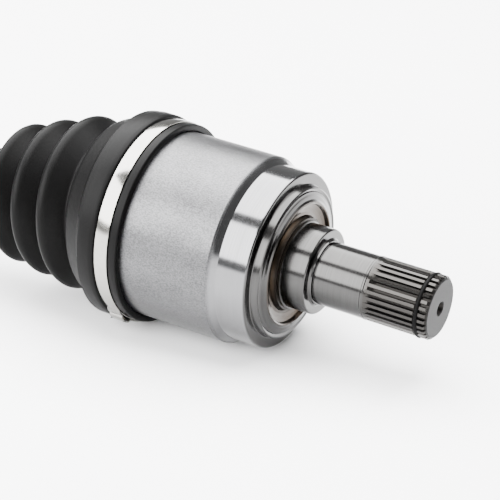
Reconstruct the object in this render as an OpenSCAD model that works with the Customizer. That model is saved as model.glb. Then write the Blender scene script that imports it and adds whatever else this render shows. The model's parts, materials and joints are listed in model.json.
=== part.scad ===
// Drive shaft with a plunging ball joint at the gearbox end and a fixed ball joint at the wheel end.
// The shaft lies on its side, +Z up, with its bar level along X and its gearbox end toward +X.
// The gearbox end dips a little at the inner joint, so that the can and the boot's collar both touch the floor.
// The origin is on the gearbox end's axis, in the middle of the oil seal journal.

/* [Layout] */
// Distance between the centres of the two joints
joint_span = 430; // [400:5:560]

/* [Inner stub] */
// Diameter of the oil seal journal
seal_journal_d = 40; // [38:0.5:42]
// Length of the oil seal journal
seal_journal_len = 11.6; // [9:0.2:16]
// Diameter of the plain shank beside the journal
stub_shank_d = 29.2; // [28.6:0.1:29.4]
// Length of the plain shank
stub_shank_len = 25; // [15:1:40]
// Outside diameter of the stub spline
stub_spline_d = 29.4; // [29:0.1:30.4]
// Length of the stub spline
stub_spline_len = 32.5; // [26:0.5:45]
// Number of teeth on the stub spline
stub_teeth = 30; // [26:1:32]
// Depth of the spline grooves
spline_depth = 1.15; // [0.8:0.05:1.3]
// Distance from the stub's end to the middle of its circlip
stub_clip_from_end = 5.4; // [4:0.2:8]

/* [Inner joint can] */
// Outside diameter of the can
can_d = 88.8; // [87:0.2:94]
// Length of the can from its end face to its mouth
can_len = 81; // [79:0.5:90]
// Diameter of the turned band behind the end face
can_band_d = 83; // [81:0.5:85]
// Length of the turned band
can_band_len = 14.7; // [10:0.5:20]
// Outside diameter of the raised ring on the end face
boss_d = 71; // [69:0.5:74]
// Height of the raised ring
boss_rise = 3.5; // [2.5:0.1:4]
// Diameter of the rim round the dish
rim_d = 57.6; // [55:0.2:60]
// Height of the rim above the end face
rim_rise = 5; // [4.5:0.1:5.5]
// Height of the journal's root above the end face
journal_root = 6.3; // [6:0.1:8]
// Distance from the end face to the centre of the inner joint
inner_joint_depth = 45; // [44:0.5:48]

/* [Inner joint] */
// Diameter of the inner joint's balls
inner_ball_d = 19.05; // [18:0.05:19.5]
// Radius of the circle on which the inner balls lie
inner_ball_circle_r = 28; // [27.5:0.1:28.5]
// Outside diameter of the inner cage
inner_cage_d = 63.2; // [62.6:0.1:63.6]
// Thickness of the inner cage's wall
inner_cage_wall = 5; // [4:0.1:5.5]
// Width of the inner cage
inner_cage_w = 27; // [25.5:0.5:28]
// Width of the inner race
inner_race_w = 24; // [22:0.5:25]
// Plunge of the inner joint, each way
plunge = 16; // [10:1:17]
// Largest swing of the inner joint, each way, in degrees
inner_swing = 20; // [15:1:21]

/* [Bar] */
// Diameter of the bar
bar_d = 24.6; // [22:0.2:25]
// Outside diameter of the bar's end splines
bar_spline_d = 25; // [24:0.2:26]
// Number of teeth on the bar's end splines
bar_teeth = 26; // [22:1:28]
// Diameter of the bar's boot seats
boot_seat_d = 27; // [26.4:0.2:28]

/* [Outer joint] */
// Outside diameter of the bell
bell_d = 85.6; // [85:0.2:92]
// Diameter of the outer joint's balls
outer_ball_d = 17; // [16:0.1:17.4]
// Radius of the circle on which the outer balls lie
outer_ball_circle_r = 29; // [28.6:0.1:29.4]
// Outside diameter of the outer cage
outer_cage_d = 64.4; // [64:0.1:65]
// Thickness of the outer cage's wall
outer_cage_wall = 4.8; // [4:0.1:5.2]
// Width of the outer cage
outer_cage_w = 25; // [24:0.5:26]
// Width of the outer race
outer_race_w = 22; // [20:0.5:23]
// Largest swing of the outer joint, each way, in degrees
outer_swing = 40; // [30:1:41]
// Distance from the outer joint's centre to the hub shoulder
hub_shoulder_x = 46; // [44:0.5:55]
// Diameter of the hub shoulder
hub_shoulder_d = 60; // [54:1:64]
// Outside diameter of the hub spline
hub_spline_d = 28; // [26:0.2:30]
// Length of the hub spline
hub_spline_len = 38; // [30:1:50]
// Number of teeth on the hub spline
hub_teeth = 29; // [26:1:32]
// Root diameter of the threaded end
thread_root_d = 20.7; // [18:0.1:22]
// Length of the threaded end
thread_len = 22; // [16:1:30]

/* [Boots] */
// Wall of the rubber boots
boot_wall = 2.6; // [2:0.1:3]
// Height of the inner boot's collar above the seat of its wide clamp
inner_collar_rise = 2.1; // [1.6:0.1:3]
// Length of can that the inner boot covers
boot_overlap = 17.8; // [17:0.2:20]
// Outside diameter of the inner boot's first ridge
inner_ridge_d = 84; // [80:0.5:88]
// Distance from the inner boot's lip to its first ridge
inner_ridge_x = 46.9; // [44:0.1:50]
// Distance between the inner boot's first two ridges
inner_pitch = 17.3; // [14:0.1:18]
// Number of ridges on the inner boot
inner_ridges = 5; // [4:1:6]
// Outside diameter of the outer boot's first ridge
outer_ridge_d = 82; // [78:0.5:86]
// Distance between the outer boot's first two ridges
outer_pitch = 14.5; // [13:0.2:16]
// Number of ridges on the outer boot
outer_ridges = 5; // [4:1:6]
// Height of the outer boot's collar above the seat of its wide clamp
outer_collar_rise = 2; // [1.6:0.1:3]
// Wall of the boots' small collars
small_collar_wall = 3.2; // [2.8:0.1:4]
// Length of the boots' small collars
small_collar_len = 15; // [13:0.5:20]

/* [Clamps] */
// Width of the wide clamps
clamp_w = 6.8; // [6:0.2:7.4]
// Width of the small clamps
small_clamp_w = 6; // [5:0.2:7]
// Thickness of the clamp bands
band_t = 0.9; // [0.7:0.05:1.1]
// Height of a clamp's pinched ear
ear_h = 2.6; // [2:0.1:3.4]

/* [Clearances] */
// Radial clearance between a ball and its groove in the inner joint
inner_groove_gap = 0.55; // [0.5:0.01:0.6]
// Clearance between a ball and its groove in the outer joint
outer_groove_gap = 0.35; // [0.3:0.01:0.4]
// Sideways play of a ball in its groove in the outer joint
outer_side_gap = 1.65; // [1.6:0.01:1.8]
// Clearance between a ball and the sides of its cage window
window_gap = 0.15; // [0.1:0.01:0.2]
// Clearance between a cage and the faces that it slides on
cage_gap = 0.4; // [0.3:0.02:0.45]
// Clearance round a fitted piece
fit_gap = 0.05; // [0.04:0.01:0.1]
// Clearance between rubber and metal
rubber_gap = 0.3; // [0.2:0.02:0.35]

/* [Hidden] */
round_fn = 96;
balls = 6;
steel = [0.72, 0.73, 0.74];
dark_steel = [0.36, 0.37, 0.39];
rubber = [0.07, 0.07, 0.075];
zinc = [0.86, 0.86, 0.84];

// Stations along the axis, from the seal journal
stub_step_x = seal_journal_len / 2;
stub_spline_x = stub_step_x + stub_shank_len;
stub_end_x = stub_spline_x + stub_spline_len;
face_x = -seal_journal_len / 2 - journal_root;
can_mouth_x = face_x - can_len;
inner_joint_x = face_x - inner_joint_depth;
boot_lip_x = can_mouth_x + boot_overlap;

// Radii that follow from the driving diameters
can_r = can_d / 2;
band_r = can_band_d / 2;
journal_r = seal_journal_d / 2;
shank_r = stub_shank_d / 2;
inner_ball_r = inner_ball_d / 2;
outer_ball_r = outer_ball_d / 2;
inner_cage_r = inner_cage_d / 2;
outer_cage_r = outer_cage_d / 2;
inner_bore_r = inner_cage_r + cage_gap;
outer_bore_r = outer_cage_r + cage_gap;
inner_race_r = inner_cage_r - inner_cage_wall - cage_gap;
outer_race_r = outer_cage_r - outer_cage_wall - cage_gap;
bar_spline_r = bar_spline_d / 2;
bar_root_r = bar_spline_r - spline_depth;

// The snap ring beside a race, and the bar's end beyond it
clip_t = 1.6;
clip_groove_w = clip_t + 2 * fit_gap;
end_land = 1.8;
function bar_end_len(race_w) = race_w / 2 + 2 * fit_gap + clip_groove_w + end_land;

// The can's floor stays clear of the bar's end at full plunge and full swing
floor_clear = 0.8;
inner_reach = bar_end_len(inner_race_w) * cos(inner_swing) + bar_spline_r * sin(inner_swing);
cage_reach = inner_cage_w / 2 * cos(inner_swing / 2) + inner_cage_r * sin(inner_swing / 2);
can_floor_x = inner_joint_x + plunge + max(inner_reach, cage_reach) + floor_clear;

// The wire ring that stops the balls at the can's mouth
wire_r = 1.25;
wire_from_mouth = 4;
wire_ring_r = inner_bore_r + wire_r + fit_gap;

// Stub circlip, a round wire in a groove
stub_clip_r = 0.9;
stub_clip_ring_r = stub_spline_d / 2 - 0.5;

// Wide clamps sit in a groove near the lip of each boot
band_from_lip = 4.6;
inner_band_seat_r = can_r + rubber_gap + boot_wall;
bell_seat_r = bell_d / 2 - 1.2;
outer_band_seat_r = bell_seat_r + rubber_gap + boot_wall;
small_band_seat_r = boot_seat_d / 2 + rubber_gap + small_collar_wall;
inner_collar_r = inner_band_seat_r + inner_collar_rise;
outer_collar_r = outer_band_seat_r + outer_collar_rise;
outer_lip_from_mouth = 1.5;
bell_mouth_x = -15;
outer_lip_x = bell_mouth_x + outer_lip_from_mouth + band_from_lip + clamp_w + 2;

// The gearbox end dips until the can's shoulder and the boot's collar lie on one level
can_shoulder_x = face_x - can_band_len - 3.7;
collar_top_x = boot_lip_x - band_from_lip - clamp_w - 2;
rest_dip = atan((inner_collar_r - can_r) / (can_shoulder_x - collar_top_x));

// Placing
module with_can() {
    rotate([0, rest_dip, 0]) children();
}
module at_inner_joint() {
    translate([inner_joint_x * cos(rest_dip), 0, -inner_joint_x * sin(rest_dip)]) children();
}
module with_inner_cage() {
    at_inner_joint() rotate([0, rest_dip / 2, 0]) children();
}
module with_bar() {
    at_inner_joint() children();
}
module at_outer_joint() {
    with_bar() translate([-joint_span, 0, 0]) rotate([0, 0, 180]) children();
}
module round_the_joint(first = 0) {
    for (k = [0 : balls - 1]) rotate([first + k * 360 / balls, 0, 0]) children();
}
module round_the_inner_joint() {
    round_the_joint(inner_ball_start) children();
}
// The inner joint swings about two of its balls, so those lie level
inner_ball_start = 90;

// A turned solid about X, from a profile of [x, radius] points
module turned(profile, angle = 360) {
    rotate([0, 90, 0]) rotate_extrude(angle = angle, $fn = round_fn)
        polygon([for (p = profile) [p[1], p[0]]]);
}
// A rod about X from one station to another
module rod(x0, x1, r) {
    translate([x0, 0, 0]) rotate([0, 90, 0]) cylinder(r = r, h = x1 - x0, $fn = round_fn);
}
// Points of an arc in a profile
function arc(cx, cr, r, from, to, steps) =
    [for (i = [0 : steps]) let (a = from + (to - from) * i / steps) [cx + r * cos(a), cr + r * sin(a)]];
// The toothed outline of a spline
function spline_outline(teeth, tip_r, root_r, spread = 0) =
    [for (i = [0 : teeth - 1]) for (q = [[tip_r, -0.23], [tip_r, 0.23], [root_r, 0.36], [root_r, 0.64]])
        let (side = q[1] < 0.3 ? sign(q[1]) * spread : sign(0.5 - q[1]) * spread,
             a = (i + q[1] + side) * 360 / teeth)
        [q[0] * cos(a), q[0] * sin(a)]];
module toothed_rod(x0, x1, teeth, tip_r, root_r, spread = 0) {
    translate([x0, 0, 0]) rotate([0, 90, 0]) linear_extrude(x1 - x0)
        polygon(spline_outline(teeth, tip_r, root_r, spread));
}
// A lathe centre hole whose mouth is in the end face at x
module centre_hole(x, mouth_r) {
    drill_r = mouth_r * 0.45;
    turned([[x - 3 * mouth_r, 0], [x - 2.7 * mouth_r, drill_r], [x - mouth_r, drill_r],
        [x, mouth_r], [x + 1, mouth_r * 1.55], [x + 1, 0]]);
}
// An open ring of round wire
module wire_ring(x, ring_r, section_r, gap_angle) {
    translate([x, 0, 0]) rotate([0, 90, 0]) rotate([0, 0, gap_angle / 2])
        rotate_extrude(angle = 360 - gap_angle, $fn = round_fn)
            translate([ring_r, 0]) circle(r = section_r, $fn = 32);
}

// The can, the stub and its spline are one forging
module inner_joint_housing() color(steel) with_can() {
    tip_r = stub_spline_d / 2;
    root_r = tip_r - spline_depth;
    clip_x = stub_end_x - stub_clip_from_end;
    clip_half = stub_clip_r + 0.1;
    clip_floor_r = stub_clip_ring_r - stub_clip_r - fit_gap;
    tooth_x = stub_spline_x + 1.6;
    difference() {
        union() {
            turned(can_and_stub_outline(root_r));
            intersection() {
                toothed_rod(tooth_x, stub_end_x, stub_teeth, tip_r, root_r);
                turned([[tooth_x - 1, 0], [tooth_x - 1, tip_r + 1], [clip_x - clip_half, tip_r + 1],
                    [clip_x - clip_half, clip_floor_r], [clip_x + clip_half, clip_floor_r],
                    [clip_x + clip_half, tip_r + 1], [stub_end_x - 2.2, tip_r + 1],
                    [stub_end_x, root_r - 0.4], [stub_end_x, 0]]);
            }
        }
        turned(can_bore_outline());
        round_the_inner_joint() translate([0, 0, inner_ball_circle_r])
            rod(can_mouth_x - 1, can_floor_x - 0.6, inner_ball_r + inner_groove_gap);
        centre_hole(stub_end_x, 3.5);
    }
}
function can_and_stub_outline(root_r) =
    let (x = face_x, core_r = root_r - 1.6, boss_r = boss_d / 2, rim_r = rim_d / 2, shoulder = 3.2)
    concat(
        [[stub_end_x - 0.4, 0], [stub_end_x - 0.4, core_r], [stub_spline_x + 6.4, core_r],
         [stub_spline_x + 6, root_r - 0.15], [stub_spline_x + 2.6, shank_r],
         [stub_spline_x + 1.2, shank_r], [stub_spline_x + 0.8, shank_r + 0.2],
         [stub_spline_x + 0.1, shank_r + 0.2], [stub_spline_x - 0.2, shank_r],
         [stub_step_x + 2.2, shank_r], [stub_step_x + 2, shank_r - 0.35], [stub_step_x + 1.5, shank_r - 0.35],
         [stub_step_x + 1.3, shank_r + 0.5], [stub_step_x + 0.6, shank_r + 0.7],
         [stub_step_x, shank_r + 1.5]],
        arc(stub_step_x - 0.9, journal_r - 0.9, 0.9, 0, 90, 4),
        [[x + journal_root, journal_r], [x + journal_root - 0.3, journal_r + 0.7],
         [x + journal_root - 1.1, journal_r + 0.7], [x + journal_root - 1.3, journal_r + 1.7],
         [x + journal_root - 2.1, journal_r + 1.9], [x + rim_rise - 2.4, journal_r + 2.6],
         [x + rim_rise - 2.6, journal_r + 4], [x + rim_rise - 2.3, rim_r - 2.8],
         [x + rim_rise - 1.8, rim_r - 1], [x + rim_rise - 0.3, rim_r - 0.5], [x + rim_rise, rim_r],
         [x + rim_rise - 0.1, rim_r + 0.5], [x + rim_rise - 0.7, rim_r + 1.5],
         [x + boss_rise + 0.4, (rim_r + boss_r) / 2 - 0.4], [x + boss_rise + 0.1, boss_r - 3],
         [x + boss_rise - 0.1, boss_r - 2.1], [x + boss_rise - 0.5, boss_r - 1.8],
         [x + boss_rise - 0.2, boss_r - 1.1], [x + boss_rise, boss_r - 0.6],
         [x + boss_rise - 0.3, boss_r], [x + 0.3, boss_r + 0.6], [x, boss_r + 1]],
        arc(x - 1.1, band_r - 1.1, 1.1, 0, 90, 5),
        [[x - can_band_len, band_r], [x - can_band_len - shoulder, can_r - 0.3],
         [x - can_band_len - shoulder - 0.5, can_r], [can_mouth_x + 1, can_r],
         [can_mouth_x, can_r - 1], [can_mouth_x, 0]]);
// The bore that the cage slides in, with the wire's groove and a dished floor
function can_bore_outline() =
    let (wire_x = can_mouth_x + wire_from_mouth, w = wire_r + fit_gap, chamfer = 2.4)
    [[can_mouth_x - 1, 0], [can_mouth_x - 1, inner_bore_r + chamfer + 1],
     [can_mouth_x + chamfer, inner_bore_r], [wire_x - w, inner_bore_r],
     [wire_x - w, wire_ring_r + w], [wire_x + w, wire_ring_r + w], [wire_x + w, inner_bore_r],
     [can_floor_x - 5, inner_bore_r], [can_floor_x - 1, inner_bore_r - 4],
     [can_floor_x, inner_bore_r - 9], [can_floor_x, 0]];

module inner_stub_circlip() color([0.05, 0.05, 0.055]) with_can()
    wire_ring(stub_end_x - stub_clip_from_end, stub_clip_ring_r, stub_clip_r, 24);

module inner_retaining_wire() color(dark_steel) with_can()
    wire_ring(can_mouth_x + wire_from_mouth, wire_ring_r, wire_r, 14);

// A ball cage: a belt of a hollow sphere with a window for each ball
module ball_cage(outer_r, wall, width, ball_r, circle_r) {
    play = 1.3;
    window_r = ball_r + window_gap;
    difference() {
        intersection() {
            sphere(r = outer_r, $fn = round_fn);
            rod(-width / 2, width / 2, outer_r + 1);
        }
        sphere(r = outer_r - wall, $fn = round_fn);
        round_the_joint() translate([0, 0, circle_r - outer_r / 2]) {
            for (side = [-play, play]) translate([0, side, 0])
                cylinder(r = window_r, h = outer_r, $fn = round_fn);
            translate([-window_r, -play, 0]) cube([2 * window_r, 2 * play, outer_r]);
        }
    }
}
module inner_cage() color(dark_steel) with_inner_cage() rotate([inner_ball_start, 0, 0])
    ball_cage(inner_cage_r, inner_cage_wall, inner_cage_w, inner_ball_r, inner_ball_circle_r);

// The blank of a race, with its splined bore
module race_blank(race_r, width) {
    difference() {
        intersection() {
            sphere(r = race_r, $fn = round_fn);
            rod(-width / 2, width / 2, race_r + 1);
        }
        toothed_rod(-width, width, bar_teeth, bar_spline_r + fit_gap, bar_root_r + fit_gap, 0.01);
        for (end = [-1, 1]) scale([end, 1, 1])
            turned([[width / 2 - 1.2, 0], [width / 2 - 1.2, bar_spline_r], [width / 2 + 1, bar_spline_r + 2.2],
                [width / 2 + 1, 0]]);
    }
}
module inner_race() color(steel) with_bar()
    difference() {
        race_blank(inner_race_r, inner_race_w);
        round_the_inner_joint() translate([0, 0, inner_ball_circle_r])
            rod(-inner_race_w, inner_race_w, inner_ball_r + inner_groove_gap);
    }
module inner_ball(k) color(zinc) with_inner_cage()
    rotate([inner_ball_start + (k - 1) * 360 / balls, 0, 0]) translate([0, 0, inner_ball_circle_r])
        sphere(r = inner_ball_r, $fn = round_fn);

// A flat snap ring in the groove of a bar end, in the frame of that end's joint
module race_circlip(race_w) {
    x0 = race_w / 2 + 2 * fit_gap + fit_gap;
    floor_r = bar_root_r - 0.4;
    rotate([20, 0, 0])
        turned([[x0, floor_r + fit_gap], [x0 + clip_t, floor_r + fit_gap],
            [x0 + clip_t, bar_spline_r + 1.6], [x0, bar_spline_r + 1.6]], 330);
}
module inner_race_circlip() color(dark_steel) with_bar() race_circlip(inner_race_w);

// One end of the bar, in the frame of its joint: the spline and the snap ring's groove
module bar_end(race_w) {
    end_x = bar_end_len(race_w);
    clip_x = race_w / 2 + 2 * fit_gap;
    start_x = -race_w / 2 - 3;
    floor_r = bar_root_r - 0.4;
    intersection() {
        toothed_rod(start_x, end_x, bar_teeth, bar_spline_r, bar_root_r);
        turned([[start_x - 1, 0], [start_x - 1, bar_spline_r + 1], [clip_x, bar_spline_r + 1],
            [clip_x, floor_r], [clip_x + clip_groove_w, floor_r], [clip_x + clip_groove_w, bar_spline_r + 1],
            [end_x - 1.6, bar_spline_r + 1], [end_x, bar_root_r - 0.5], [end_x, 0]]);
    }
}
// The forged bar, in its own frame with the inner joint's centre at 0 and the outer one at -joint_span
module shaft_bar() color([0.2, 0.2, 0.21]) with_bar() {
    stop_in = -inner_race_w / 2 - fit_gap;
    stop_out = -joint_span + outer_race_w / 2 + fit_gap;
    collar_r = bar_spline_r + 1.3;
    seat_r = boot_seat_d / 2;
    neck = 6;
    difference() {
        union() {
            turned([[stop_in, 0], [stop_in, collar_r - 0.6], [stop_in - 0.6, collar_r],
                [stop_in - neck, collar_r], [stop_in - 2 * neck, bar_d / 2],
                [inner_seat_x + 3, bar_d / 2], [inner_seat_x, seat_r],
                [inner_seat_x - small_collar_len, seat_r], [inner_seat_x - small_collar_len - 3, bar_d / 2],
                [outer_seat_x + small_collar_len + 3, bar_d / 2], [outer_seat_x + small_collar_len, seat_r],
                [outer_seat_x, seat_r], [outer_seat_x - 3, bar_d / 2],
                [stop_out + 2 * neck, bar_d / 2], [stop_out + neck, collar_r],
                [stop_out + 0.6, collar_r], [stop_out, collar_r - 0.6], [stop_out, 0]]);
            bar_end(inner_race_w);
            translate([-joint_span, 0, 0]) rotate([0, 0, 180]) bar_end(outer_race_w);
        }
        centre_hole(bar_end_len(inner_race_w), 3);
        translate([-joint_span, 0, 0]) rotate([0, 0, 180]) centre_hole(bar_end_len(outer_race_w), 3);
    }
}

// Bellows. A profile is a list of [distance from the lip, radius] points
ridge_taper = 0.9;
pitch_taper = 0.925;
valley_depth = 8;
function ridge_r(first_r, i) = first_r * pow(ridge_taper, i);
function ridge_u(first_u, pitch, i) = first_u + pitch * (1 - pow(pitch_taper, i)) / (1 - pitch_taper);
function valley_r(first_r, i) = ridge_r(first_r, i) - valley_depth * pow(ridge_taper, i);
// A smooth half wave from one [u, r] to the next, without its last point
function half_wave(p, q, steps) =
    [for (i = [0 : steps - 1]) let (t = i / steps, w = (1 - cos(180 * t)) / 2)
        [p[0] + (q[0] - p[0]) * t, p[1] + (q[1] - p[1]) * w]];
function bellows(start, first_u, first_r, pitch, ridges, steps) =
    let (last = ridges - 1,
         turns = concat([start],
            [for (i = [0 : last]) for (side = [0, 1])
                side == 0 && i == 0 ? [first_u - pitch * 0.62, valley_r(first_r, 0)] :
                side == 0 ? [(ridge_u(first_u, pitch, i - 1) + ridge_u(first_u, pitch, i)) / 2,
                             valley_r(first_r, i)] :
                [ridge_u(first_u, pitch, i), ridge_r(first_r, i)]],
            [[ridge_u(first_u, pitch, last) + pitch * 0.45, small_band_seat_r]]))
    concat([for (i = [0 : len(turns) - 2]) each half_wave(turns[i], turns[i + 1], steps)],
        [turns[len(turns) - 1]]);
function small_end_u(first_u, pitch, ridges) = ridge_u(first_u, pitch, ridges - 1) + pitch * 0.45;

// The inner boot's outline from its lip, round the clamp's groove and along its ridges
boot_steps = 3;
boot_sides = 40;
boot_facet = 1 / cos(180 / boot_sides);
inner_crease_u = boot_overlap + 3;
inner_small_u = small_end_u(inner_ridge_x, inner_pitch, inner_ridges);
inner_skin = concat(
    [[0, can_r + boot_wall - 0.2], [0.9, inner_band_seat_r + 0.3], [band_from_lip - 0.3, inner_band_seat_r + 0.6],
     [band_from_lip - 0.2, inner_band_seat_r], [band_from_lip + clamp_w + 0.2, inner_band_seat_r],
     [band_from_lip + clamp_w + 0.5, inner_collar_r - 0.8], [band_from_lip + clamp_w + 2, inner_collar_r]],
    bellows([inner_crease_u, inner_collar_r - 0.6], inner_ridge_x, inner_ridge_d / 2, inner_pitch,
        inner_ridges, boot_steps),
    [[inner_small_u + small_collar_len, small_band_seat_r]]);
inner_lining = concat(
    [[0, (can_r + rubber_gap) * boot_facet], [boot_overlap + 0.4, (can_r + rubber_gap) * boot_facet]],
    [for (p = bellows([inner_crease_u, inner_collar_r - 0.6], inner_ridge_x, inner_ridge_d / 2, inner_pitch,
        inner_ridges, boot_steps)) if (p[0] > boot_overlap + 2.9 && p[0] < inner_small_u - 0.1)
        [p[0], min(p[1] - boot_wall, (can_r + rubber_gap) * boot_facet)]],
    [[inner_small_u, (boot_seat_d / 2 + rubber_gap) * boot_facet],
     [inner_small_u + small_collar_len, (boot_seat_d / 2 + rubber_gap) * boot_facet]]);

// The inner boot's centre line in the can's frame: straight on the can, then a bend, then straight on the bar
bend_start_x = boot_lip_x - inner_crease_u;
bend_len = inner_small_u - inner_crease_u;
bend_end_x = bend_start_x - bend_len;
bend_end_z = (bend_end_x - inner_joint_x) * tan(rest_dip);
inner_seat_x = (bend_end_x - inner_joint_x) / cos(rest_dip);
bend_start_rise = -0.6 * tan(rest_dip) * bend_len;
bend_end_rise = -tan(rest_dip) * bend_len;
function bend_z(t) = bend_end_z * (3 * t * t - 2 * t * t * t) + bend_start_rise * (t * t * t - 2 * t * t + t)
    + bend_end_rise * (t * t * t - t * t);
function bend_turn(t) =
    atan(-(bend_end_z * 6 * (t - t * t) + bend_start_rise * (3 * t * t - 4 * t + 1)
        + bend_end_rise * (3 * t * t - 2 * t)) / bend_len);
// Centre and turn of the boot's ring at a distance u from the lip
function boot_station(u) =
    u <= inner_crease_u ? [boot_lip_x - u, 0, 0] :
    u >= inner_small_u ? [bend_end_x - (u - inner_small_u) * cos(rest_dip),
                          bend_end_z - (u - inner_small_u) * sin(rest_dip), rest_dip] :
    let (t = (u - inner_crease_u) / bend_len) [bend_start_x - t * bend_len, bend_z(t), bend_turn(t)];
function boot_ring(p) =
    let (s = boot_station(p[0]))
    [for (k = [0 : boot_sides - 1]) let (a = k * 360 / boot_sides)
        [s[0] - p[1] * sin(a) * sin(s[2]), p[1] * cos(a), s[1] + p[1] * sin(a) * cos(s[2])]];
// A closed skin through rings, with the last ring joined to the first
module ring_skin(rings) {
    n = len(rings);
    m = len(rings[0]);
    polyhedron(
        points = [for (ring = rings) each ring],
        faces = [for (i = [0 : n - 1]) for (k = [0 : m - 1])
            let (a = i * m + k, b = i * m + (k + 1) % m,
                 c = ((i + 1) % n) * m + (k + 1) % m, d = ((i + 1) % n) * m + k)
            each [[a, b, c], [a, c, d]]]);
}
module inner_boot() color(rubber) with_can() {
    back = len(inner_lining) - 1;
    section = concat(inner_skin, [for (i = [0 : back]) inner_lining[back - i]]);
    ring_skin([for (p = section) boot_ring(p)]);
}

// The outer boot, straight, in the outer joint's frame with its lip towards the wheel
outer_ridge_u = 32;
outer_crease_u = band_from_lip + clamp_w + 8;
outer_small_u = small_end_u(outer_ridge_u, outer_pitch, outer_ridges);
outer_seat_x = -joint_span - outer_lip_x + outer_small_u;
outer_bellows = bellows([outer_crease_u, outer_collar_r - 0.6], outer_ridge_u, outer_ridge_d / 2, outer_pitch,
    outer_ridges, 6);
outer_cover = outer_lip_x - bell_mouth_x;
outer_skin = concat(
    [[0, bell_seat_r + boot_wall - 0.2], [0.9, outer_band_seat_r + 0.3], [band_from_lip - 0.3, outer_band_seat_r + 0.6],
     [band_from_lip - 0.2, outer_band_seat_r], [band_from_lip + clamp_w + 0.2, outer_band_seat_r],
     [band_from_lip + clamp_w + 0.5, outer_collar_r - 0.8], [band_from_lip + clamp_w + 2, outer_collar_r]],
    outer_bellows,
    [[outer_small_u + small_collar_len, small_band_seat_r]]);
outer_lining = concat(
    [[0, bell_seat_r + rubber_gap], [outer_cover + 0.4, bell_seat_r + rubber_gap]],
    [for (p = outer_bellows) if (p[0] > outer_cover + 2 && p[0] < outer_small_u - 0.1)
        [p[0], min(p[1] - boot_wall, bell_seat_r + rubber_gap)]],
    [[outer_small_u, boot_seat_d / 2 + rubber_gap], [outer_small_u + small_collar_len, boot_seat_d / 2 + rubber_gap]]);
module outer_boot() color(rubber) at_outer_joint() {
    back = len(outer_lining) - 1;
    section = concat(outer_skin, [for (i = [0 : back]) outer_lining[back - i]]);
    turned([for (p = section) [outer_lip_x - p[0], p[1]]]);
}

// A band clamp centred on x = 0, with its overlapping tail and pinched ear
module band_clamp(seat_r, width, ear_angle) color(zinc) {
    r = seat_r + fit_gap;
    base = r + band_t / 2;
    half = 3.6;
    top = r + band_t + ear_h;
    rotate([ear_angle, 0, 0]) {
        turned([[-width / 2, r], [width / 2, r], [width / 2, r + band_t], [-width / 2, r + band_t]]);
        rotate([24, 0, 0]) turned([[-width / 2, base], [width / 2, base],
            [width / 2, r + 2 * band_t], [-width / 2, r + 2 * band_t]], 56);
        translate([-width / 2, 0, 0]) rotate([90, 0, 90]) linear_extrude(width)
            polygon([[-half, base], [-half, top - 1.2], [-half + 1.2, top], [half - 1.2, top],
                [half, top - 1.2], [half, base], [half - band_t, base], [half - band_t, top - 1.3],
                [half - 1.3, top - band_t], [1.3 - half, top - band_t], [band_t - half, top - 1.3],
                [band_t - half, base]]);
    }
}
module inner_boot_clamp() with_can() translate([boot_lip_x - band_from_lip - clamp_w / 2, 0, 0])
    band_clamp(inner_band_seat_r, clamp_w, 156);
module inner_boot_small_clamp() with_bar()
    translate([inner_seat_x - small_collar_len / 2, 0, 0]) band_clamp(small_band_seat_r, small_clamp_w, 120);
module outer_boot_small_clamp() with_bar()
    translate([outer_seat_x + small_collar_len / 2, 0, 0]) band_clamp(small_band_seat_r, small_clamp_w, 60);
module outer_boot_clamp() at_outer_joint()
    translate([outer_lip_x - band_from_lip - clamp_w / 2, 0, 0]) band_clamp(outer_band_seat_r, clamp_w, 100);

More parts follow.
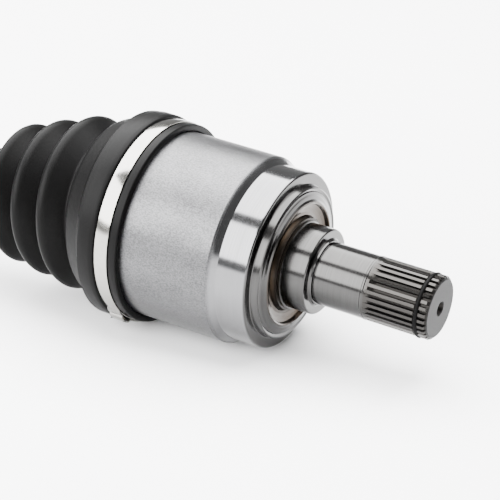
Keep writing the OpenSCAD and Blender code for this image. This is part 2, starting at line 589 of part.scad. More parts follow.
// A ball groove of the outer joint: an arc round the joint's centre, wider than the ball
module curved_groove(from, to) {
    groove_r = outer_ball_r + outer_groove_gap;
    side = outer_side_gap - outer_groove_gap;
    rotate([90, 0, 0]) rotate([0, 0, from]) rotate_extrude(angle = to - from, $fn = round_fn)
        translate([outer_ball_circle_r, 0]) {
            for (s = [-side, side]) translate([0, s]) circle(r = groove_r, $fn = 48);
            translate([-groove_r, -side]) square([2 * groove_r, 2 * side]);
        }
}
module outer_joint_bell() color(steel) at_outer_joint() {
    bell_r = bell_d / 2;
    dome_x = 8;
    tip_r = hub_spline_d / 2;
    root_r = tip_r - spline_depth;
    spline_x = hub_shoulder_x + 4;
    spline_end = spline_x + hub_spline_len;
    end_x = spline_end + 2 + thread_len;
    shoulder_r = hub_shoulder_d / 2;
    thread_r = thread_root_d / 2;
    dome_angle = acos(min(0.98, shoulder_r / bell_r));
    groove_end = 42;
    difference() {
        union() {
            turned(concat(
                [[bell_mouth_x, 0], [bell_mouth_x, bell_seat_r - 0.8], [bell_mouth_x + 0.8, bell_seat_r],
                 [outer_lip_x + 0.6, bell_seat_r], [outer_lip_x + 1.4, bell_r]],
                arc(dome_x, 0, bell_r, 90, 90 - dome_angle, 8),
                [[hub_shoulder_x - 0.8, shoulder_r], [hub_shoulder_x, shoulder_r - 0.8],
                 [hub_shoulder_x, tip_r + 2.4], [hub_shoulder_x + 0.8, tip_r + 1.2],
                 [hub_shoulder_x + 3, tip_r + 1.2], [spline_x, tip_r - 0.1], [spline_x + 1.6, tip_r - 0.1],
                 [spline_x + 5, root_r - 0.15], [spline_x + 5.4, root_r - 1],
                 [spline_end - 1, root_r - 1], [spline_end - 1, thread_r - 0.6], [spline_end + 1.6, thread_r - 0.6],
                 [spline_end + 2, thread_r], [end_x - 1.4, thread_r], [end_x, thread_r - 1.4], [end_x, 0]]));
            intersection() {
                toothed_rod(spline_x + 1, spline_end, hub_teeth, tip_r, root_r);
                turned([[spline_x, 0], [spline_x, tip_r + 1], [spline_end - 2.2, tip_r + 1],
                    [spline_end, root_r - 0.4], [spline_end, 0]]);
            }
        }
        rotate([0, 90, 0]) sphere(r = outer_bore_r, $fn = round_fn);
        turned([[bell_mouth_x - 1, 0], [bell_mouth_x - 1, bell_flare_r + 2], [bell_mouth_x, bell_flare_r + 1],
            [-11, sqrt(outer_bore_r * outer_bore_r - 121)], [-11, 0]]);
        round_the_joint() curved_groove(90 - groove_end, 150);
        centre_hole(end_x, 3.2);
    }
}
// The mouth leaves room for the bar at full swing
bell_flare_r = -bell_mouth_x * tan(outer_swing + 25.5);
module outer_cage() color(dark_steel) at_outer_joint()
    ball_cage(outer_cage_r, outer_cage_wall, outer_cage_w, outer_ball_r, outer_ball_circle_r);
module outer_race() color(steel) at_outer_joint()
    difference() {
        race_blank(outer_race_r, outer_race_w);
        round_the_joint() curved_groove(30, 150);
    }
module outer_ball(k) color(zinc) at_outer_joint()
    rotate([(k - 1) * 360 / balls, 0, 0]) translate([0, 0, outer_ball_circle_r])
        sphere(r = outer_ball_r, $fn = round_fn);
module outer_race_circlip() color(dark_steel) at_outer_joint() race_circlip(outer_race_w);

inner_joint_housing();
inner_stub_circlip();
inner_retaining_wire();
inner_cage();
inner_race();
inner_ball(1);  // inner_ball_1
inner_ball(2);  // inner_ball_2
inner_ball(3);  // inner_ball_3
inner_ball(4);  // inner_ball_4
inner_ball(5);  // inner_ball_5
inner_ball(6);  // inner_ball_6
inner_race_circlip();
inner_boot();
inner_boot_clamp();
inner_boot_small_clamp();
shaft_bar();
outer_boot_small_clamp();
outer_boot();
outer_boot_clamp();
outer_race_circlip();
outer_ball(1);  // outer_ball_1
outer_ball(2);  // outer_ball_2
outer_ball(3);  // outer_ball_3
outer_ball(4);  // outer_ball_4
outer_ball(5);  // outer_ball_5
outer_ball(6);  // outer_ball_6
outer_race();
outer_cage();
outer_joint_bell();
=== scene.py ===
import json
import math

import bmesh
import bpy
from mathutils import Matrix, Vector


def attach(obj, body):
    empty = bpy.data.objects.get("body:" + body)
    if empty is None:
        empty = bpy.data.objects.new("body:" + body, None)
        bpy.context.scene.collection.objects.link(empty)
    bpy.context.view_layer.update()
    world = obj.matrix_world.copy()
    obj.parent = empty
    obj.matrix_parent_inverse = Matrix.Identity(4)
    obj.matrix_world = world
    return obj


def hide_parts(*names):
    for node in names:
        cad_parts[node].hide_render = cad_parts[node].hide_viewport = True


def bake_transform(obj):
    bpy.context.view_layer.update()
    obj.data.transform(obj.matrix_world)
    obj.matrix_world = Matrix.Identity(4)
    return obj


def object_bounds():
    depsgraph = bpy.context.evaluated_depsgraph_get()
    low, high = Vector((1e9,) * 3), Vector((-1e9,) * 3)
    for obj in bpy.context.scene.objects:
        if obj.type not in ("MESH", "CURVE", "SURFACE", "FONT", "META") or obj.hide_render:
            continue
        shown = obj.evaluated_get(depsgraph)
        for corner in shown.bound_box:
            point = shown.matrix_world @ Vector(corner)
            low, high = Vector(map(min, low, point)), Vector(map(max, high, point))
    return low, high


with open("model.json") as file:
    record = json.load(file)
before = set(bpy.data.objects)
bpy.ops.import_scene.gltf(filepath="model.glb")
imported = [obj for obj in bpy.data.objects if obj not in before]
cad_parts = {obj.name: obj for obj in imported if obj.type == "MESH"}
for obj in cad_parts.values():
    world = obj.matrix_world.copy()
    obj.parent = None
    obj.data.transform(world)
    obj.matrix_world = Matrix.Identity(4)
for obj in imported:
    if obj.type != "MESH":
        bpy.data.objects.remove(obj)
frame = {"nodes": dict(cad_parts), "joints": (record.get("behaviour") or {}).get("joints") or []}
cad_box = [list(corner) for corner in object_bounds()]
joints = {joint["name"]: joint for joint in frame["joints"]}

# Inner joint housing
# The can, its end face and the splined stub are one steel forging, turned all over.
# The can's outside is left satin, and the band, the face's rings, the journal and the shank are ground.
# Rust stains the dish round the journal's root. Painted shade darkens the ring at the journal's root, the
# spline's valleys and the stub's ring groove.


class Wire:
    """A socket of a finish. Python's arithmetic on it adds the finish's Math nodes."""

    def __init__(self, finish, socket):
        self.finish = finish
        self.socket = socket

    def maths(self, operation, *values):
        return self.finish.node("ShaderNodeMath", {"operation": operation}, dict(enumerate(values)))

    def __add__(self, other):
        return self.maths("ADD", self, other)

    def __radd__(self, other):
        return self.maths("ADD", other, self)

    def __sub__(self, other):
        return self.maths("SUBTRACT", self, other)

    def __rsub__(self, other):
        return self.maths("SUBTRACT", other, self)

    def __mul__(self, other):
        return self.maths("MULTIPLY", self, other)

    def __rmul__(self, other):
        return self.maths("MULTIPLY", other, self)

    def __pow__(self, other):
        return self.maths("POWER", self, other)


class Finish:
    """A material made from a principled shader, with one method that adds any other node."""

    def __init__(self, name, centre=(0, 0, 0), turn=(0, 0, 0), **fixed):
        self.centre = centre
        self.turn = turn
        self.material = bpy.data.materials.new(name)
        self.material.use_nodes = True
        self.tree = self.material.node_tree
        self.tree.nodes.clear()
        self.shader = self.tree.nodes.new("ShaderNodeBsdfPrincipled")
        output = self.tree.nodes.new("ShaderNodeOutputMaterial")
        self.tree.links.new(self.shader.outputs["BSDF"], output.inputs["Surface"])
        for socket, value in fixed.items():
            self.shader.inputs[socket.replace("_", " ")].default_value = value

    def fill(self, node, inputs):
        for socket, value in inputs.items():
            if isinstance(value, Wire):
                self.tree.links.new(value.socket, node.inputs[socket])
            else:
                node.inputs[socket].default_value = value

    def node(self, kind, settings=None, inputs=None, output=0):
        made = self.tree.nodes.new(kind)
        for setting, value in (settings or {}).items():
            if setting == "stops":
                ramp = made.color_ramp
                ramp.elements[1].position = value[-1][0]
                ramp.elements[0].position = value[0][0]
                for place, _ in value[1:-1]:
                    ramp.elements.new(place)
                for element, (_, colour) in zip(ramp.elements, value):
                    element.color = colour
            else:
                setattr(made, setting, value)
        self.fill(made, inputs or {})
        return Wire(self, made.outputs[output])

    def feed(self, **inputs):
        self.fill(self.shader, {socket.replace("_", " "): value for socket, value in inputs.items()})

    def place(self):
        """Where a point lies, in the frame of the turned piece that the finish is for."""
        where = self.node("ShaderNodeTexCoord", output="Object")
        return self.node(
            "ShaderNodeMapping",
            {"vector_type": "TEXTURE"},
            {"Vector": where, "Location": self.centre, "Rotation": self.turn},
        )

    def stretched(self, scale):
        return self.node("ShaderNodeVectorMath", {"operation": "MULTIPLY"}, {0: self.place(), 1: scale})

    def noise(self, vector, scale=1.0, detail=2.0, roughness=0.5):
        return self.node(
            "ShaderNodeTexNoise",
            inputs={"Vector": vector, "Scale": scale, "Detail": detail, "Roughness": roughness},
        )

    def step(self, value, low, high):
        return self.node(
            "ShaderNodeMapRange",
            {"interpolation_type": "SMOOTHSTEP"},
            {"Value": value, "From Min": low, "From Max": high},
        )

    def blend(self, share, first, second):
        return self.node("ShaderNodeMix", {"data_type": "RGBA"}, {0: share, 6: first, 7: second}, output=2)

    def bump(self, height, strength, distance):
        inputs = {"Strength": strength, "Distance": distance, "Height": height}
        return self.node("ShaderNodeBump", inputs=inputs)

    def along_and_out(self):
        """Distance along the shaft's axis and out from it, in metres."""
        parts = self.node("ShaderNodeSeparateXYZ", inputs={0: self.place()})
        x, y, z = (Wire(self, parts.socket.node.outputs[k]) for k in range(3))
        return x, (y * y + z * z) ** 0.5

    def tool_marks(self, pitch, drift=25.0):
        """Lathe marks: fine rings round the axis that fade in and out round the piece."""
        x, out = self.along_and_out()
        across = (x + out * 1.3) * (1.0 / pitch)
        parts = self.node("ShaderNodeSeparateXYZ", inputs={0: self.stretched((drift, drift, drift))})
        y, z = (Wire(self, parts.socket.node.outputs[k]) for k in (1, 2))
        vector = self.node("ShaderNodeCombineXYZ", inputs={0: across, 1: y, 2: z})
        return self.noise(vector, detail=3.0, roughness=0.6)


def dress(finish, *names):
    """Gives CAD nodes a finish."""
    for name in names:
        mesh = frame["nodes"][name].data
        mesh.materials.clear()
        mesh.materials.append(finish.material)


plunge_axis = Vector(joints["plunge"]["axis"])
dip = math.atan2(-plunge_axis.z, plunge_axis.x)
can_r = 0.0444
end_face_x = -0.0121

forged = Finish("turned_forging", turn=(0, dip, 0), Metallic=1.0)
x, out = forged.along_and_out()
on_can = forged.step(x, end_face_x - 0.0162, end_face_x - 0.0184)
in_dish = forged.step(x, end_face_x - 0.0006, end_face_x + 0.0002) * forged.step(out, 0.0300, 0.0285)
in_dish = in_dish * forged.step(out, 0.0203, 0.0208)
at_journal_root = in_dish * forged.step(out, 0.0230, 0.0217)
past_band = forged.step(x, end_face_x - 0.0008, end_face_x - 0.0001)
on_spline = forged.step(x, 0.0310, 0.0330)
in_valley = forged.step(x, 0.0318, 0.0328) * forged.step(out, 0.01450, 0.01390)
in_ring_groove = forged.step(x, 0.0565, 0.0568) * forged.step(x, 0.0593, 0.0590)
on_end = forged.step(x, 0.0628, 0.0631)
marks = forged.tool_marks(0.00022)
grain = forged.noise(forged.stretched((1000.0, 1900.0, 1900.0)), 1.0, 3.0, 0.7)
cloud = forged.noise(forged.stretched((40.0, 90.0, 90.0)), 1.0, 4.0, 0.6)
stain = in_dish * (0.78 + 0.22 * forged.step(forged.noise(forged.place(), 120.0, 3.0), 0.30, 0.62))
# Painted shade: a mask over the journal's root ring, the spline's valleys and the ring groove, which
# darkens and roughens them.
painted_recess_shade = at_journal_root * 0.75 + in_valley * 0.85 + in_ring_groove
speckle = forged.step(grain, 0.36, 0.64)
steel = forged.blend(marks, (0.09, 0.09, 0.092, 1), (0.16, 0.16, 0.164, 1))
dull = forged.blend(marks, (0.026, 0.0255, 0.025, 1), (0.056, 0.055, 0.054, 1))
satin = forged.blend(speckle * 0.42 + cloud * 0.58, (0.026, 0.026, 0.027, 1), (0.125, 0.125, 0.128, 1))
colour = forged.blend(on_can, forged.blend(past_band, steel, dull), satin)
colour = forged.blend(stain, colour, (0.023, 0.0155, 0.0095, 1))
colour = forged.blend(on_spline * 0.75, colour, (0.022, 0.0205, 0.019, 1))
colour = forged.blend(on_end * 0.9, colour, (0.105, 0.105, 0.108, 1))
# The painted shade's near-black colour, laid into those recesses.
colour = forged.blend(painted_recess_shade, colour, (0.007, 0.0065, 0.006, 1))
smooth_roughness = 0.08 + marks * 0.10 + past_band * 0.05 + stain * 0.08 + on_end * 0.2 + painted_recess_shade * 0.25
satin_roughness = 0.32 + cloud * 0.10
forged.feed(
    Base_Color=colour,
    Roughness=smooth_roughness + on_can * (satin_roughness - smooth_roughness),
    Normal=forged.bump(marks * (1.0 - on_can) * 0.35 + grain * on_can * 3.0, 0.35, 0.00006),
)
dress(forged, "inner_joint_housing")

# Races, cages, balls and rings
# Ground and hardened bearing steel inside the joints, hidden by the boots.
# The snap rings and the wire are drawn spring steel; the stub's ring is blackened.
ground = Finish("ground_steel", Metallic=1.0)
marks = ground.tool_marks(0.00018)
ground.feed(
    Base_Color=ground.blend(marks, (0.15, 0.15, 0.155, 1), (0.23, 0.23, 0.235, 1)),
    Roughness=0.16 + marks * 0.12,
    Normal=ground.bump(marks, 0.2, 0.00004),
)
dress(ground, "inner_race", "outer_race")

hardened = Finish("hardened_steel", Metallic=1.0)
heat = hardened.noise(hardened.place(), 120.0, 3.0)
hardened.feed(
    Base_Color=hardened.blend(heat, (0.06, 0.056, 0.055, 1), (0.13, 0.125, 0.12, 1)),
    Roughness=0.28 + heat * 0.2,
    Normal=hardened.bump(hardened.noise(hardened.place(), 2200.0), 0.15, 0.00004),
)
dress(hardened, "inner_cage", "outer_cage")

polished = Finish("polished_balls", Metallic=1.0)
smear = polished.noise(polished.place(), 260.0, 2.0)
polished.feed(
    Base_Color=polished.blend(smear, (0.26, 0.26, 0.265, 1), (0.32, 0.32, 0.325, 1)),
    Roughness=0.05 + smear * 0.08,
)
dress(polished, *(f"{side}_ball_{number}" for side in ("inner", "outer") for number in range(1, 7)))

sprung = Finish("spring_steel", Metallic=1.0)
draw = sprung.noise(sprung.place(), 900.0, 2.0)
sprung.feed(
    Base_Color=sprung.blend(draw, (0.07, 0.07, 0.073, 1), (0.14, 0.137, 0.133, 1)),
    Roughness=0.3 + draw * 0.15,
)
dress(sprung, "inner_race_circlip", "outer_race_circlip", "inner_retaining_wire")

blackened = Finish("blackened_steel", Metallic=0.0, Specular_IOR_Level=0.03)
scale = blackened.noise(blackened.place(), 1400.0, 2.0)
blackened.feed(
    Base_Color=blackened.blend(scale, (0.001, 0.001, 0.0011, 1), (0.003, 0.0029, 0.0028, 1)),
    Roughness=0.36 + scale * 0.2,
)
dress(blackened, "inner_stub_circlip")

# Shaft bar
# A forged bar, turned at its ends and sprayed with black chassis paint between the boots.
# The paint is thin: it pools a little and keeps the forging's orange-peel skin.
painted = Finish("black_bar_paint", Metallic=0.0, Specular_IOR_Level=0.16)
peel = painted.noise(painted.stretched((520.0, 700.0, 700.0)), 1.0, 3.0, 0.6)
thin = painted.step(painted.noise(painted.place(), 60.0, 3.0, 0.6), 0.55, 0.8)
painted.feed(
    Base_Color=painted.blend(thin, (0.003, 0.003, 0.0032, 1), (0.009, 0.0086, 0.0082, 1)),
    Roughness=0.30 + peel * 0.16,
    Normal=painted.bump(peel, 0.3, 0.0001),
)
dress(painted, "shaft_bar")

# Inner boot
# A moulded rubber bellows: a thick collar grips the can under the wide clamp and a thin one grips the bar.
# It lies bent, because the bar is swung at the inner joint, so its rings follow a bent centre line.
MM = 0.001
BOOT_WALL = 2.6
RUBBER_GAP = 0.3
CLAMP_EDGE, CLAMP_WIDTH = 4.6, 6.8
VALLEY_SHARE, FULL_RIDGE_R, CREST_ROOM = 0.56, 34.0, 2.5
VALLEY_ROUNDING, CREST_ROUNDING = 1.6, 5.2
SMALL_COLLAR_R, SMALL_COLLAR_LENGTH = 17.0, 15.0
SEAT_R = 13.5
ROUND_STEPS = 160
SHARP_DEGREES = 38
BEND_INSET = 0.0003


def bellows_turns(ridges, shoulder_u, depth):
    """The corners (distance from the lip, radius, rounding) of the valleys and ridges.

    A ridge is given as its distance from the lip and its radius, and a thin one has shallow valleys.
    """
    turns = []
    before_u = shoulder_u
    for crest_u, crest in ridges:
        valley_u = crest_u - (crest_u - before_u) * VALLEY_SHARE
        valley = crest - depth * min(1.0, (crest / FULL_RIDGE_R) ** 2)
        turns.append((valley_u, valley, VALLEY_ROUNDING))
        turns.append((crest_u, crest + CREST_ROOM, CREST_ROUNDING))
        before_u = crest_u
    return turns


def boot_outline(grip_r, collar_r, crease_u, overlap, shoulder, turns, end_u):
    """A boot's whole section from its lip, over the bellows, and back along its lining."""
    seat = grip_r + RUBBER_GAP + BOOT_WALL
    after = CLAMP_EDGE + CLAMP_WIDTH
    collar = [
        (0.0, grip_r + RUBBER_GAP, 0.3),
        (0.0, seat - 0.6, 0.9),
        (0.4, seat + 0.6, 0.8),
        (CLAMP_EDGE - 0.5, seat + 0.6, 0.5),
        (CLAMP_EDGE - 0.2, seat - 0.1, 0.1),
        (after + 0.2, seat - 0.1, 0.1),
        (after + 0.6, collar_r - 0.5, 0.4),
        (after + 2.2, collar_r, 0.6),
        (crease_u, collar_r, 0.9),
        (crease_u + 1.2, collar_r - 2.6, 0.6),
    ]
    small = [
        (end_u, SMALL_COLLAR_R + 0.4, 1.4),
        (end_u + 4.0, SMALL_COLLAR_R + 0.5, 0.5),
        (end_u + 4.4, SMALL_COLLAR_R - 0.05, 0.1),
        (end_u + SMALL_COLLAR_LENGTH - 4.4, SMALL_COLLAR_R - 0.05, 0.1),
        (end_u + SMALL_COLLAR_LENGTH - 4.0, SMALL_COLLAR_R + 0.5, 0.4),
        (end_u + SMALL_COLLAR_LENGTH, SMALL_COLLAR_R + 0.3, 0.6),
        (end_u + SMALL_COLLAR_LENGTH, SEAT_R + RUBBER_GAP, 0.3),
        (end_u + 1.0, SEAT_R + RUBBER_GAP, 0.5),
    ]
    limit = grip_r + RUBBER_GAP
    lining = [(u, min(r - BOOT_WALL, limit), 2.0) for u, r, _ in reversed(shoulder[-1:] + turns)]
    lining.append((overlap + 1.0, limit, 0.5))
    return collar + shoulder + turns + small + lining


def ease(bm, geom, offset, segments, affect="VERTICES"):
    """Rounds the corners or the edges of a bmesh."""
    bmesh.ops.bevel(
        bm,
        geom=geom,
        offset=offset,
        offset_type="OFFSET",
        affect=affect,
        segments=segments,
        profile=0.5,
        material=-1,
    )


def spun(outline):
    """A bmesh in mm of an outline of (x, radius, rounding) corners, rounded, then spun about the X axis."""
    bm = bmesh.new()
    corners = [bm.verts.new((x, 0.0, radius)) for x, radius, _ in outline]
    for first, second in zip(corners, corners[1:] + corners[:1]):
        bm.edges.new((first, second))
    for corner, (_, _, rounding) in zip(corners, outline):
        near = min(edge.calc_length() for edge in corner.link_edges)
        segments = 8 if rounding > 3 else 5 if rounding > 1 else 3
        ease(bm, [corner], min(rounding, near * 0.45), segments)
    bmesh.ops.spin(
        bm,
        geom=bm.verts[:] + bm.edges[:],
        cent=(0, 0, 0),
        axis=(1, 0, 0),
        angle=math.tau,
        steps=ROUND_STEPS,
        use_merge=True,
    )
    bmesh.ops.remove_doubles(bm, verts=bm.verts, dist=0.0005)
    bmesh.ops.recalc_face_normals(bm, faces=bm.faces)
    return bm


def stretch_of(boot, start_x, end_x):
    """The part of a spun boot between two planes across its axis, with its cut ends closed."""
    part = boot.copy()
    for place, keep in ((start_x, -1), (end_x, 1)):
        if place is None:
            continue
        cut = bmesh.ops.bisect_plane(
            part,
            geom=part.verts[:] + part.edges[:] + part.faces[:],
            plane_co=(place, 0, 0),
            plane_no=(1, 0, 0),
            clear_outer=keep < 0,
            clear_inner=keep > 0,
        )
        rims = [edge for edge in cut["geom_cut"] if isinstance(edge, bmesh.types.BMEdge)]
        bmesh.ops.bridge_loops(part, edges=rims)
    return part


def finish_piece(name, bm, finish, flat=False):
    """Turns a bmesh in mm into a piece in metres."""
    bmesh.ops.scale(bm, verts=bm.verts, vec=(MM, MM, MM))
    mesh = bpy.data.meshes.new(name)
    bm.to_mesh(mesh)
    bm.free()
    mesh.materials.append(finish.material)
    if not flat:
        mesh.shade_smooth()
        mesh.set_sharp_from_angle(angle=math.radians(SHARP_DEGREES))
    piece = bpy.data.objects.new(name, mesh)
    bpy.context.scene.collection.objects.link(piece)
    return piece


moulded = Finish("moulded_rubber", Metallic=0.0, Specular_IOR_Level=0.045)
skin_grain = moulded.noise(moulded.place(), 1500.0, 2.0, 0.6)
bloom = moulded.noise(moulded.place(), 38.0, 4.0, 0.6)
moulded.feed(
    Base_Color=moulded.blend(bloom, (0.0014, 0.0014, 0.0015, 1), (0.0032, 0.0031, 0.0030, 1)),
    Roughness=0.34 + bloom * 0.10 + skin_grain * 0.06,
    Normal=moulded.bump(skin_grain, 0.22, 0.00008),
)

inner_lip_x = -75.3
inner_joint_x = -57.1
inner_collar_r = 49.4
crease_u = 20.4
shoulder = [(crease_u + 2.6, 45.3, 1.0), (30.8, 43.0, 1.6)]
ridges = [(47.3, 41.8), (64.6, 37.9), (81.9, 34.0), (98.5, 19.5), (108.5, 18.5)]
turns = bellows_turns(ridges, 29.8, 9.6)
inner_overlap = 17.8
inner_end_u = 116.5
bend_length = inner_end_u - crease_u
bend_end_x = inner_lip_x - inner_end_u
bend_end_z = (bend_end_x - inner_joint_x) * math.tan(dip)
end_rise = -math.tan(dip) * bend_length
start_rise = end_rise * 0.6
as_can = Matrix.Rotation(dip, 4, "Y")


def inner_boot_station(u):
    """Centre of the boot's ring at a distance u from the lip, and the ring's turn, in the can's frame."""
    if u <= crease_u:
        return Vector((inner_lip_x - u, 0, 0)), 0.0
    if u >= inner_end_u:
        beyond = u - inner_end_u
        return Vector((bend_end_x - beyond * math.cos(dip), 0, bend_end_z - beyond * math.sin(dip))), dip
    t = (u - crease_u) / bend_length
    z = bend_end_z * (3 * t**2 - 2 * t**3) + start_rise * (t**3 - 2 * t**2 + t) + end_rise * (t**3 - t**2)
    slope = (
        bend_end_z * 6 * (t - t**2) + start_rise * (3 * t**2 - 4 * t + 1) + end_rise * (3 * t**2 - 2 * t)
    )
    return Vector((inner_lip_x - u, 0, z)), math.atan(-slope / bend_length)


outline = boot_outline(can_r / MM, inner_collar_r, crease_u, inner_overlap, shoulder, turns, inner_end_u)
inner_boot_mesh = spun([(inner_lip_x - u, r, rounding) for u, r, rounding in outline])
middle_u = turns[0][0]
inner_chain = ["housing", "inner_pivot_balls", "bar"]
inner_cuts = [None, inner_lip_x - middle_u, None]
inner_blend_u = [12.0, middle_u, 70.0]
for number in range(2):
    stretch = stretch_of(inner_boot_mesh, inner_cuts[number], inner_cuts[number + 1])
    for vert in stretch.verts:
        centre, turn = inner_boot_station(inner_lip_x - vert.co.x)
        vert.co = centre + Vector((-vert.co.z * math.sin(turn), vert.co.y, vert.co.z * math.cos(turn)))
    bmesh.ops.transform(stretch, matrix=as_can, verts=stretch.verts)
    piece = finish_piece(f"inner_boot_stretch_{number + 1}", stretch, moulded)
    first, second = inner_chain[number : number + 2]
    start, end = (as_can @ inner_boot_station(u)[0] * MM for u in inner_blend_u[number : number + 2])
    inset = (end - start).normalized() * BEND_INSET
    start + inset
    end - inset
    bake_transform(piece)
    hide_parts("inner_boot")
inner_boot_mesh.free()

# Outer boot
# The wheel end's boot is the same moulding in a shorter pitch and lies straight.
# Its collar stays with the bell. The outer joint's pieces turn about two axes.
outer_pivot = Vector(joints["outer_tilt"]["pos_m"]) / MM
outer_place = Matrix.Translation(outer_pivot) @ Matrix.Rotation(math.pi, 4, "Z")
outer_lip_x = -0.1
bell_seat_r, outer_collar_r = 41.6, 46.5
outer_shoulder = [(19.4, 43.2, 0.8)]
outer_ridges = [(32.0, 41.0), (46.5, 36.9), (59.9, 33.2), (72.3, 29.0), (83.4, 24.5)]
outer_turns = bellows_turns(outer_ridges, 17.5, 6.4)
outer_crease_u, outer_overlap, outer_end_u = 17.2, 14.9, 90.3
outline = boot_outline(
    bell_seat_r, outer_collar_r, outer_crease_u, outer_overlap, outer_shoulder, outer_turns, outer_end_u
)
outer_boot_mesh = spun([(outer_lip_x - u, r, rounding) for u, r, rounding in outline])
first_valley_u, second_cut_u, third_cut_u = outer_turns[0][0], 41.0, 57.0
outer_cuts = [None, first_valley_u, second_cut_u, third_cut_u, None]
outer_bends = [
    None,
    ("outer_bottom_ball", "outer_cage", first_valley_u, second_cut_u),
    ("outer_top_ball", "outer_cage", third_cut_u, second_cut_u),
    ("outer_top_ball", "bar", third_cut_u, 70.0),
]
for number, bend in enumerate(outer_bends):
    planes = [None if u is None else outer_lip_x - u for u in outer_cuts[number : number + 2]]
    stretch = stretch_of(outer_boot_mesh, planes[0], planes[1])
    bmesh.ops.transform(stretch, matrix=outer_place, verts=stretch.verts)
    piece = finish_piece(f"outer_boot_stretch_{number + 1}", stretch, moulded)
    if bend:
        first, second, *ends_u = bend
        start, end = (outer_place @ Vector((outer_lip_x - u, 0, 0)) * MM for u in ends_u)
        inset = (end - start).normalized() * BEND_INSET
        start + inset
        end - inset
        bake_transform(piece)
    else:
        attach(piece, "bell")
    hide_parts("outer_boot")
outer_boot_mesh.free()

# Clamps
# Bright stainless bands. Each is one strip that laps under its own tail, with two tabs that hold the tail.
# It is pulled tight by pinching the ear, a hump in the strip.
BAND = 0.9
BAND_GAP = 0.05
SMALL_WIDTH = 6.0
EAR_HEIGHT, EAR_HALF = 2.6, 3.6
LAP_DEGREES, LAP_END_DEGREES = 8, 11
TAIL_ROUNDING, RIM_ROUNDING, TAB_ROUNDING = 1.6, 0.18, 0.25
TAB_SHARES, TAB_LENGTH, TAB_HEIGHT, TAB_SLOPE = (0.44, 0.68), 3.0, 1.1, 0.5

bright = Finish("bright_stainless_band", Metallic=1.0)
rolled = bright.noise(bright.place(), 700.0, 2.0)
handled = bright.noise(bright.place(), 60.0, 3.0)
bright.feed(
    Base_Color=bright.blend(rolled * 0.6 + handled * 0.4, (0.21, 0.205, 0.19, 1), (0.33, 0.325, 0.305, 1)),
    Roughness=0.08 + rolled * 0.08 + handled * 0.05,
    Normal=bright.bump(rolled, 0.08, 0.00004),
)


def band_strip(grip_r, width, tail):
    """A clamp round the X axis, with its ear at the top: shaped as a flat strip, then wrapped.

    Its tail's length past the ear is in degrees.
    """
    half = EAR_HALF
    degree = grip_r * math.pi / 180
    path = [
        (tail * degree, BAND, 0),
        (half + 0.5, BAND, 0.5),
        (half - 0.3, EAR_HEIGHT - 0.4, 0.8),
        (0.6, EAR_HEIGHT, 0.6),
        (0, EAR_HEIGHT - 0.35, 0.4),
        (-0.6, EAR_HEIGHT, 0.6),
        (0.3 - half, EAR_HEIGHT - 0.4, 0.8),
        (-half - 0.5, BAND, 0.5),
        (-LAP_DEGREES * degree, BAND, 0.3),
        (-LAP_END_DEGREES * degree, 0.02, 0.3),
        (-(360 + LAP_END_DEGREES) * degree, 0.02, 0),
    ]
    strip = bmesh.new()
    corners = [strip.verts.new((-width / 2, y, z)) for y, z, _ in path]
    for first, second in zip(corners, corners[1:]):
        strip.edges.new((first, second))
    for corner, (_, _, rounding) in zip(corners, path):
        if rounding:
            ease(strip, [corner], rounding, 4)
    for edge in strip.edges[:]:
        cuts = int(edge.calc_length() / (3 * degree))
        if cuts:
            bmesh.ops.subdivide_edges(strip, edges=[edge], cuts=cuts)
    grown = bmesh.ops.extrude_edge_only(strip, edges=strip.edges[:])["geom"]
    far_side = [vert for vert in grown if isinstance(vert, bmesh.types.BMVert)]
    bmesh.ops.translate(strip, verts=far_side, vec=(width, 0, 0))
    tips = [vert for vert in strip.verts if vert.co.y > (tail - 0.1) * degree]
    ease(strip, tips, TAIL_ROUNDING, 4)
    bmesh.ops.recalc_face_normals(strip, faces=strip.faces)
    if sum(face.normal.z for face in strip.faces) > 0:
        bmesh.ops.reverse_faces(strip, faces=strip.faces)
    bmesh.ops.solidify(strip, geom=strip.faces[:], thickness=BAND)
    rims = [edge for edge in strip.edges if len(edge.link_faces) == 2 and edge.calc_face_angle() > 1.2]
    ease(strip, rims, RIM_ROUNDING, 2, "EDGES")
    for share in TAB_SHARES:
        tab = bmesh.ops.create_cube(strip, size=1.0)["verts"]
        bmesh.ops.scale(strip, verts=tab, vec=(width * 0.42, TAB_LENGTH, TAB_HEIGHT))
        for vert in tab:
            if vert.co.y > 0 and vert.co.z > 0:
                vert.co.z -= TAB_SLOPE
        bmesh.ops.translate(strip, verts=tab, vec=(0, share * tail * degree, 2 * BAND))
        edges = {edge for vert in tab for edge in vert.link_edges}
        ease(strip, list(edges), TAB_ROUNDING, 2, "EDGES")
    for vert in strip.verts:
        angle = vert.co.y / grip_r
        reach = grip_r + vert.co.z
        vert.co = Vector((vert.co.x, -reach * math.sin(angle), reach * math.cos(angle)))
    return strip


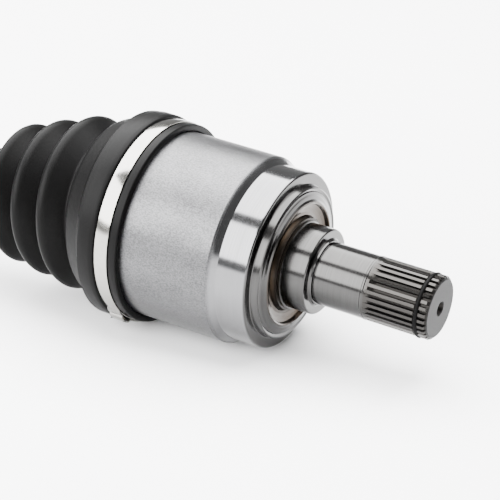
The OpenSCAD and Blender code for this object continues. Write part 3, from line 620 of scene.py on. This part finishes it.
inner_seat = as_can @ inner_boot_station(inner_end_u + SMALL_COLLAR_LENGTH / 2)[0]
outer_seat = outer_place @ Vector((outer_lip_x - outer_end_u - SMALL_COLLAR_LENGTH / 2, 0, 0))
inner_band = as_can @ Matrix.Translation((inner_lip_x - CLAMP_EDGE - CLAMP_WIDTH / 2, 0, 0))
outer_band = outer_place @ Matrix.Translation((outer_lip_x - CLAMP_EDGE - CLAMP_WIDTH / 2, 0, 0))
inner_grip_r = can_r / MM + RUBBER_GAP + BOOT_WALL + BAND_GAP
outer_grip_r = bell_seat_r + RUBBER_GAP + BOOT_WALL + BAND_GAP
small_grip_r = SMALL_COLLAR_R + BAND_GAP
inner_small = Matrix.Translation(inner_seat)
outer_small = Matrix.Translation(outer_seat)
for name, node, body, grip_r, width, ear_angle, tail, place in (
    ("inner_wide_band", "inner_boot_clamp", "housing", inner_grip_r, CLAMP_WIDTH, 144, 27, inner_band),
    ("inner_narrow_band", "inner_boot_small_clamp", "bar", small_grip_r, SMALL_WIDTH, 120, 64, inner_small),
    ("outer_narrow_band", "outer_boot_small_clamp", "bar", small_grip_r, SMALL_WIDTH, 60, 64, outer_small),
    ("outer_wide_band", "outer_boot_clamp", "bell", outer_grip_r, CLAMP_WIDTH, 100, 64, outer_band),
):
    strip = band_strip(grip_r, width, tail)
    turned = place @ Matrix.Rotation(math.radians(ear_angle), 4, "X")
    bmesh.ops.transform(strip, matrix=turned, verts=strip.verts)
    piece = finish_piece(name, strip, bright)
    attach(piece, body)
    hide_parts(node)

# Outer joint bell
# The bell, its hub spline and its threaded end are one steel forging, turned and left satin.
# The M22 x 1.5 thread is rolled onto the end, so it stands as one helical ridge on the root.
# The ridge rises out of the root over its first turn and sinks back into it over its last.
bell_finish = Finish("turned_bell", centre=outer_pivot * MM, turn=(0, 0, math.pi), Metallic=1.0)
x, out = bell_finish.along_and_out()
on_dome = bell_finish.step(out, 0.0290, 0.0305) * bell_finish.step(x, 0.0012, 0.0022)
marks = bell_finish.tool_marks(0.00022)
grain = bell_finish.noise(bell_finish.stretched((1000.0, 1900.0, 1900.0)), 1.0, 3.0, 0.7)
cloud = bell_finish.noise(bell_finish.stretched((40.0, 90.0, 90.0)), 1.0, 4.0, 0.6)
speckle = bell_finish.step(grain, 0.36, 0.64)
steel = bell_finish.blend(marks, (0.055, 0.055, 0.056, 1), (0.11, 0.11, 0.112, 1))
satin = bell_finish.blend(speckle * 0.42 + cloud * 0.58, (0.026, 0.026, 0.027, 1), (0.125, 0.125, 0.128, 1))
smooth_roughness = 0.12 + marks * 0.12
satin_roughness = 0.34 + cloud * 0.10
bell_finish.feed(
    Base_Color=bell_finish.blend(on_dome, steel, satin),
    Roughness=smooth_roughness + on_dome * (satin_roughness - smooth_roughness),
    Normal=bell_finish.bump(marks * (1.0 - on_dome) * 0.5 + grain * on_dome * 3.0, 0.35, 0.00006),
)
dress(bell_finish, "outer_joint_bell")

THREAD_PITCH, THREAD_TURNS, TURN_STEPS = 1.5, 12.6, 72
thread_start_x, thread_root_r = 90.9, 10.35
thread = bmesh.new()
ridge = [(-0.68, -0.15), (-0.12, 0.62), (0.12, 0.62), (0.68, -0.15)]
corners = [thread.verts.new((thread_start_x + x, 0, thread_root_r + rise)) for x, rise in ridge]
for first, second in zip(corners, corners[1:] + corners[:1]):
    thread.edges.new((first, second))
bmesh.ops.spin(
    thread,
    geom=thread.verts[:] + thread.edges[:],
    cent=(0, 0, 0),
    axis=(1, 0, 0),
    dvec=(THREAD_PITCH / TURN_STEPS, 0, 0),
    angle=math.tau * THREAD_TURNS,
    steps=round(THREAD_TURNS * TURN_STEPS),
    use_merge=False,
)
thread.verts.ensure_lookup_table()
bmesh.ops.contextual_create(thread, geom=[edge for edge in thread.edges if edge.is_boundary])
thread_end_x = thread_start_x + THREAD_PITCH * THREAD_TURNS
for vert in thread.verts:
    turns_from_end = min(vert.co.x - thread_start_x + 0.7, thread_end_x + 0.7 - vert.co.x) / THREAD_PITCH
    share = min(1.0, max(0.0, turns_from_end - 0.3))
    out = math.hypot(vert.co.y, vert.co.z)
    rise = out - (thread_root_r - 0.15)
    vert.co.yz = vert.co.yz * ((out - rise * (1 - share)) / out)
bmesh.ops.recalc_face_normals(thread, faces=thread.faces)
bmesh.ops.transform(thread, matrix=outer_place, verts=thread.verts)
piece = finish_piece("hub_thread", thread, bell_finish)
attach(piece, "bell")

# Floor, light and camera
# A pale studio sweep under soft boxes, seen from the height and side of the photograph.
paper = Finish("pale_floor", Roughness=0.9)
paper.feed(Base_Color=(0.76, 0.76, 0.765, 1))
floor_mesh = bmesh.new()
bmesh.ops.create_grid(floor_mesh, x_segments=2, y_segments=2, size=6000)
bmesh.ops.translate(floor_mesh, verts=floor_mesh.verts, vec=(0, 0, cad_box[0][2] / MM))
finish_piece("floor", floor_mesh, paper, flat=True)


def soft_box(name, place, aim, width, height, power):
    light = bpy.data.lights.new(name, "AREA")
    light.shape = "RECTANGLE"
    light.size, light.size_y, light.energy = width, height, power
    lamp = bpy.data.objects.new(name, light)
    lamp.location = place
    lamp.rotation_euler = (Vector(aim) - Vector(place)).to_track_quat("-Z", "Y").to_euler()
    bpy.context.scene.collection.objects.link(lamp)


soft_box("overhead_box", (-0.45, 0.40, 1.2), (-0.45, 0.40, 0), 2.2, 1.8, 270)
soft_box("front_box", (-0.60, -1.15, 0.72), (0, 0, 0), 1.9, 1.1, 125)
soft_box("end_box", (1.5, 0.9, 0.75), (0, 0, 0), 1.0, 0.8, 12)

studio = bpy.data.worlds.new("studio")
studio.use_nodes = True
studio.node_tree.nodes["Background"].inputs["Color"].default_value = (1, 1, 1, 1)
studio.node_tree.nodes["Background"].inputs["Strength"].default_value = 0.5
bpy.context.scene.world = studio

lens = bpy.data.cameras.new("camera")
lens.lens, lens.sensor_width = 136.8, 36.0
camera = bpy.data.objects.new("camera", lens)
camera.location = (0.3728, -0.6935, 0.3374)
azimuth, elevation = math.radians(30.34), math.radians(22.65)
level = math.cos(elevation)
look = Vector((-math.sin(azimuth) * level, math.cos(azimuth) * level, -math.sin(elevation)))
camera.rotation_euler = look.to_track_quat("-Z", "Y").to_euler()
bpy.context.scene.collection.objects.link(camera)
bpy.context.scene.camera = camera
